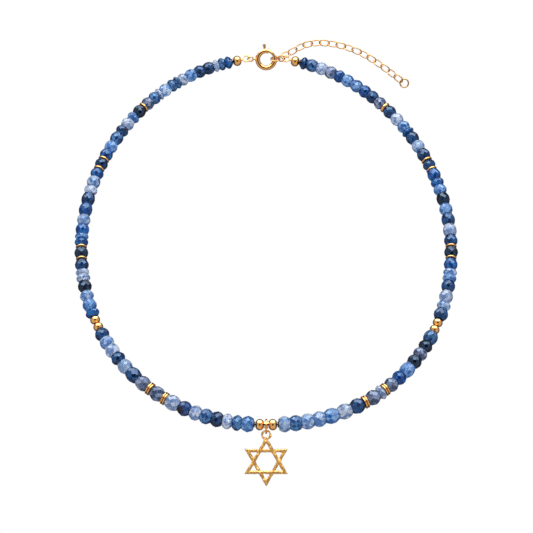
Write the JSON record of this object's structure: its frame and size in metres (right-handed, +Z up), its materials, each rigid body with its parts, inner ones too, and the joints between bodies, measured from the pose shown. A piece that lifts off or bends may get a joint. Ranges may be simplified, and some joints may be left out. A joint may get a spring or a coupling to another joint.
{
  "type": "star pendant bead necklace",
  "caption": "Graded string of faceted blue stone beads with gold-coloured beads, a six-pointed star drop, a spring-ring clasp and an extender chain.",
  "frame": {"origin": "the string's topmost point behind the neck, at the middle of the clasp", "axes": "+Z up, the star and the clasp face -Y, +X to the right of the star as seen from the front"},
  "size_m": [0.119, 0.0643, 0.1385],
  "materials": {
    "blue_stone": "faceted, cloudy, slightly clear",
    "polished_gold": "polished gold plate",
    "hammered_gold": "hammered satin gold plate",
    "black_stop": "polished",
    "thread": "twisted silk"
  },
  "bodies": {
    "strand": {"thread": "thread", "left_stones": "blue_stone", "right_stones": "blue_stone", "left_front_bead": "polished_gold", "right_front_bead": "polished_gold", "bushing": "polished_gold", "left_side_bead_1": "polished_gold", "left_side_bead_2": "polished_gold", "right_side_bead_1": "polished_gold", "right_side_bead_2": "polished_gold", "left_ring_1": "polished_gold", "left_ring_2": "polished_gold", "left_ring_3": "polished_gold", "left_ring_4": "polished_gold", "left_ring_5": "polished_gold", "left_ring_6": "polished_gold", "left_ring_7": "polished_gold", "left_ring_8": "polished_gold", "left_ring_9": "polished_gold", "right_ring_1": "polished_gold", "right_ring_2": "polished_gold", "right_ring_3": "polished_gold", "right_ring_4": "polished_gold", "right_ring_5": "polished_gold", "right_ring_6": "polished_gold", "right_ring_7": "polished_gold", "right_ring_8": "polished_gold", "right_ring_9": "polished_gold", "left_front_stop": "black_stop", "right_front_stop": "black_stop", "left_back_stop": "black_stop", "right_back_stop": "black_stop", "left_bead_tip": "polished_gold", "right_bead_tip": "polished_gold", "spring_ring": "polished_gold", "clasp_link": "polished_gold", "joining_ring": "polished_gold", "extender_chain": "polished_gold", "extender_end_ring": "polished_gold"},
    "pendant_ring": {"pendant_ring": "polished_gold"},
    "star": {"star": "hammered_gold"},
    "spring_bolt": {"spring_bolt": "polished_gold"}
  },
  "joints": [
    {"name": "pendant_ring_swing", "type": "hinge", "parent": "strand", "child": "pendant_ring", "pos_m": [0, -0.06042, -0.11363], "axis": [1, 0, 0], "range_deg": [-72, 72]},
    {"name": "star_swing", "type": "hinge", "parent": "pendant_ring", "child": "star", "pos_m": [0, -0.06042, -0.11618], "axis": [0, 1, 0], "range_deg": [-30, 30]},
    {"name": "clasp_bolt", "type": "hinge", "parent": "strand", "child": "spring_bolt", "pos_m": [0, 0, -0.0003], "axis": [0, -1, 0], "range_deg": [0, 46], "stiffness_Nm_per_rad": 0.003, "springref_deg": -11.46}
  ]
}
